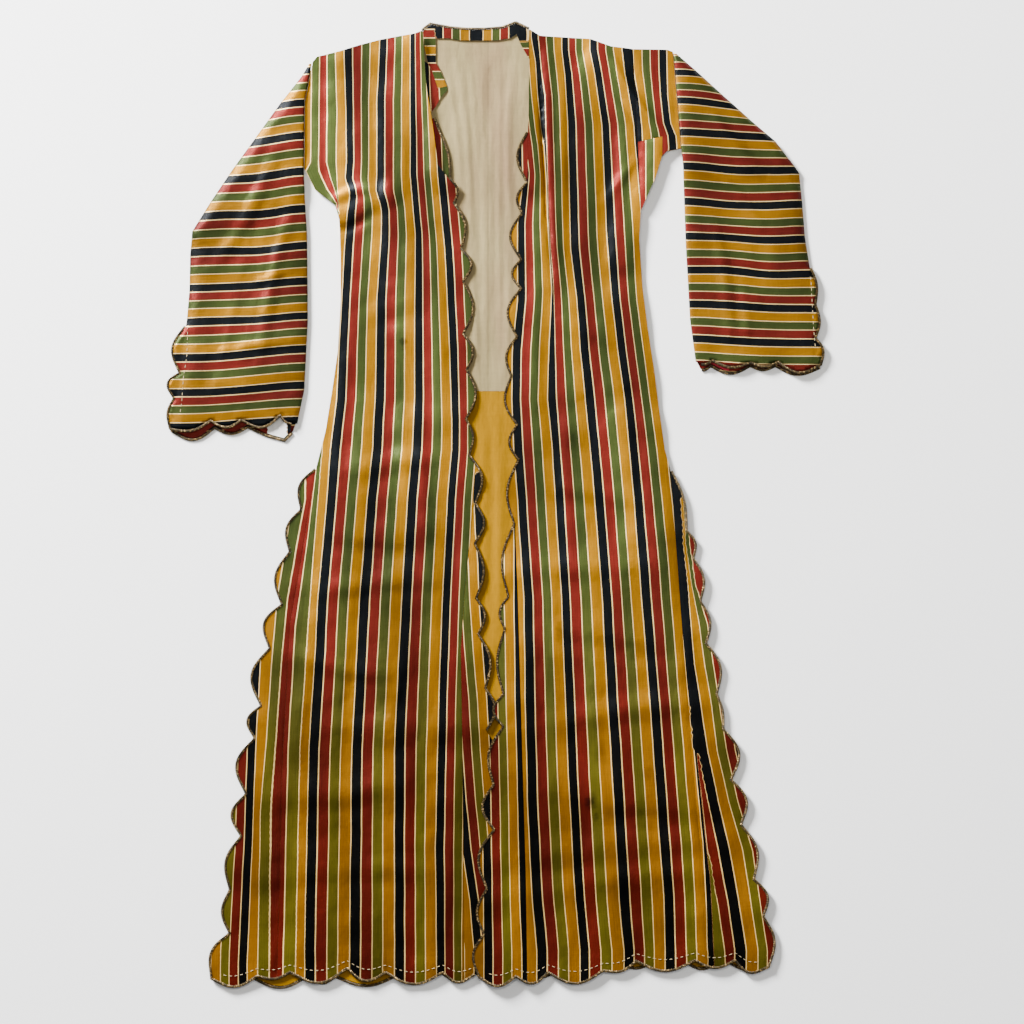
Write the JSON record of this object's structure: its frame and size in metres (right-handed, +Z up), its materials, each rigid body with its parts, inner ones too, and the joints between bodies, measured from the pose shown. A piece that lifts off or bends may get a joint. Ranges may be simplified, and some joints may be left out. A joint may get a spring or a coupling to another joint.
{
  "type": "striped silk robe with scalloped edges, laid flat",
  "caption": "Open-fronted long robe of striped satin laid flat: scalloped braided edges, slit skirt, sleeves folded down, linen and cotton lining showing in the opening.",
  "frame": {"origin": "centre of the robe's reach across and of its length, on the surface that it lies on", "axes": "+Z up out of the robe's front, +Y from the hem to the collar, +X to the wearer's left"},
  "size_m": [0.9224, 1.3565, 0.0105],
  "materials": {
    "satin": "striped silk and cotton satin, glossy",
    "linen": "plain undyed linen, matt",
    "cotton_yellow": "plain yellow cotton, matt",
    "cotton_white": "plain white cotton, matt",
    "cotton_pink": "plain rose cotton, matt",
    "braid": "twisted tarnished metal thread"
  },
  "bodies": {
    "root": {"back": "satin", "back_lining_upper": "linen", "back_lining_lower": "cotton_yellow", "front_r": "satin", "front_l": "satin", "front_turn_r": "satin", "front_turn_l": "satin", "side_gore_r": "satin", "side_gore_l": "satin", "centre_gore_r": "satin", "centre_gore_l": "satin", "side_panel_l": "satin", "gusset_l": "satin", "neckband": "satin", "neck_corner_r": "satin", "sleeve_r": "satin", "sleeve_l": "satin", "sleeve_head_r": "satin", "sleeve_head_l": "satin", "cuff_lining_r": "cotton_white", "cuff_lining_l": "cotton_pink", "braid_back": "braid", "braid_edge_r": "braid", "braid_skirt_r": "braid", "braid_front_l": "braid", "braid_turn_r": "braid", "braid_turn_l": "braid", "braid_neck": "braid", "braid_cuff_r": "braid", "braid_cuff_l": "braid", "braid_under_r": "braid", "braid_under_l": "braid"}
  },
  "joints": []
}
